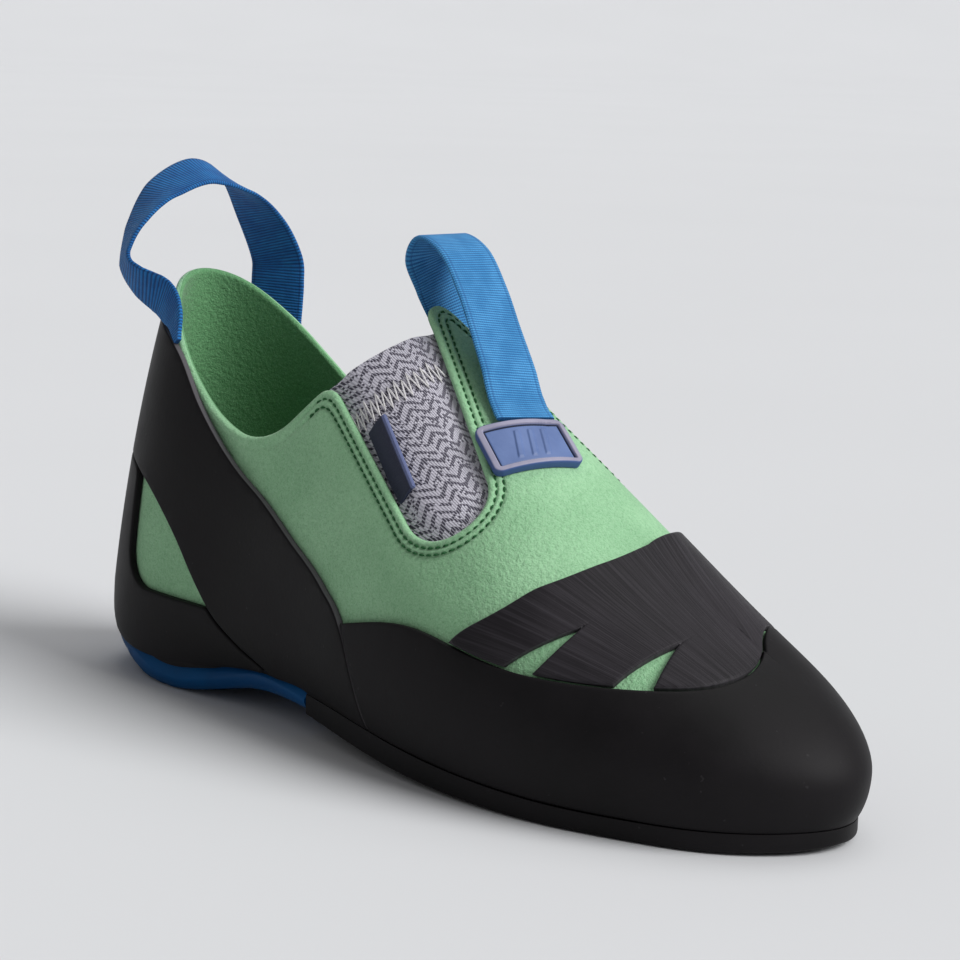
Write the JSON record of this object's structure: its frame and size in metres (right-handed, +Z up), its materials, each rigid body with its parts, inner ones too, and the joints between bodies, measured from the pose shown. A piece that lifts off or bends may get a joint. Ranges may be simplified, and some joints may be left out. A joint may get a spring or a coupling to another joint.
{
  "type": "climbing shoe",
  "caption": "Slip-on climbing shoe with a suede upper, rubber rand, toe patch and heel strap, a knitted tongue and webbing pull loops.",
  "frame": {"origin": "on the floor under the middle of the shoe's outline box", "axes": "+X from the heel to the toe, +Y to the big-toe side, +Z up"},
  "size_m": [0.2524, 0.0836, 0.1418],
  "materials": {
    "suede": "matt suede",
    "knit": "knitted",
    "rubber": "satin",
    "blue_rubber": "satin",
    "insole_board": "matt",
    "badge_rubber": "satin",
    "label_cloth": "woven",
    "webbing": "ribbed"
  },
  "bodies": {
    "root": {"upper": "suede", "tongue": "knit", "rand": "rubber", "toe_patch": "rubber", "strap": "rubber", "heel_cup": "rubber", "outsole": "rubber", "heel_sole": "blue_rubber", "insole": "insole_board", "badge": "badge_rubber", "label": "label_cloth", "heel_loop": "webbing", "front_loop": "webbing"}
  },
  "joints": []
}
